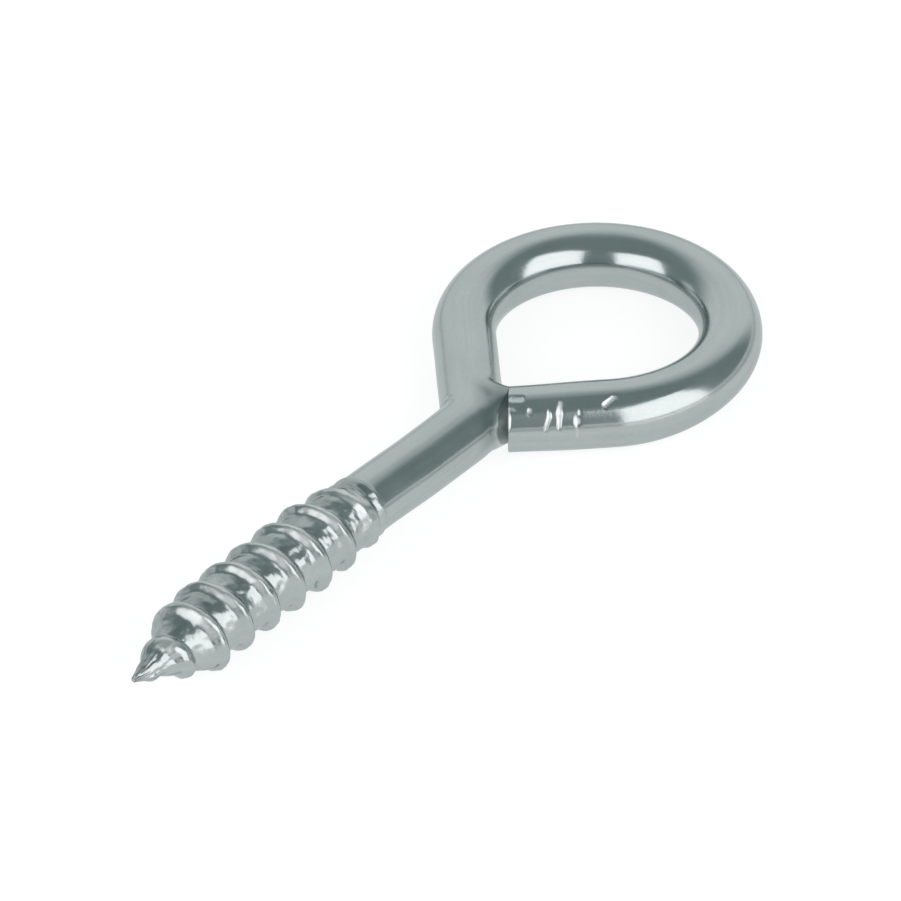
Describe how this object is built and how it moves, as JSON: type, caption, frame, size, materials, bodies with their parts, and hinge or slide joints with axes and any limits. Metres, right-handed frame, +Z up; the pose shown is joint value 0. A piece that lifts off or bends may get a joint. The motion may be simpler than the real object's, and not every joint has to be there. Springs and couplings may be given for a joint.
{
  "type": "screw eye",
  "caption": "Zinc-plated wire screw eye with a closed teardrop eye, a plain shank and a gimlet-pointed wood thread.",
  "frame": {"origin": "on the surface it lies on, under the middle of its outline", "axes": "+X along the shank from the point to the eye, +Y to the side that the neck bends to, +Z up"},
  "size_m": [0.08, 0.0296, 0.008],
  "materials": {
    "zinc_plate": "bright zinc plate, cool grey with a green cast, softly glossy"
  },
  "bodies": {
    "root": {"screw_eye": "zinc_plate"}
  },
  "joints": []
}
